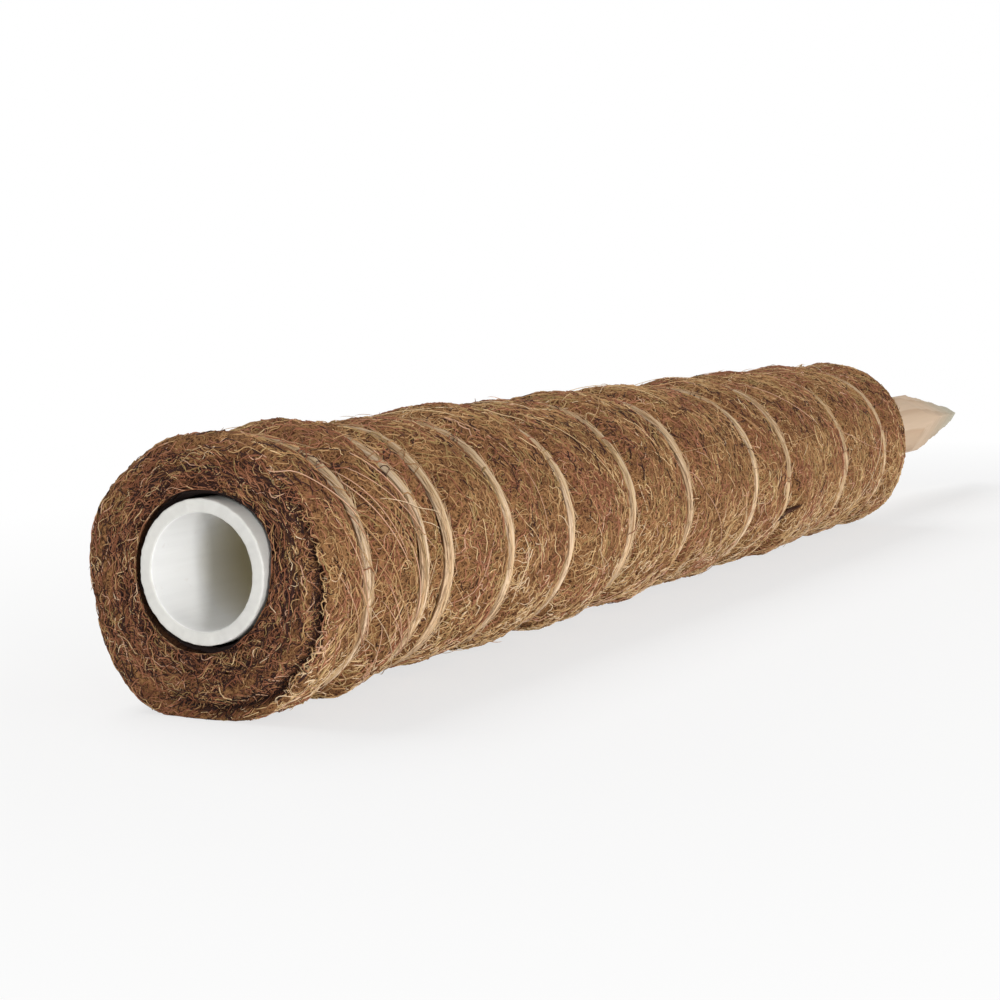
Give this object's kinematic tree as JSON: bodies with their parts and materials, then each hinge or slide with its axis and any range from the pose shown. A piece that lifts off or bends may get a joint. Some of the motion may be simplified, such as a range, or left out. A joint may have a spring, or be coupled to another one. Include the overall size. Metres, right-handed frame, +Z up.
{
  "type": "moss pole",
  "caption": "Round plant support pole: a plastic tube wrapped in coir felt and bound with twine, with a pointed wooden stake at one end and an open socket at the other.",
  "frame": {"origin": "on the surface the pole lies on, under the middle of its length and width", "axes": "+X along the pole from the open tube end towards the stake's point, +Z up; the pictured side faces -Y"},
  "size_m": [0.45, 0.0457, 0.0442],
  "materials": {
    "white_plastic": "smooth extruded white plastic, satin, cut square at the ends",
    "pale_wood": "bare pale softwood dowel, knife-cut point",
    "coir_dark": "matted coconut fibre, dark cut edge",
    "coir": "matted coconut fibre, loose golden strands",
    "twine": "loosely twisted natural twine, matt"
  },
  "bodies": {
    "pole": {"core_tube": "white_plastic", "coir_inner_wrap": "coir_dark", "coir_outer_wrap": "coir", "binding_twine": "twine", "twine_knot_start": "twine", "twine_knot_end": "twine"},
    "stake": {"ground_stake": "pale_wood"}
  },
  "joints": [
    {"name": "stake_pull", "type": "slide", "parent": "pole", "child": "stake", "axis": [1, 0, 0], "range_m": [0, 0.085]}
  ]
}
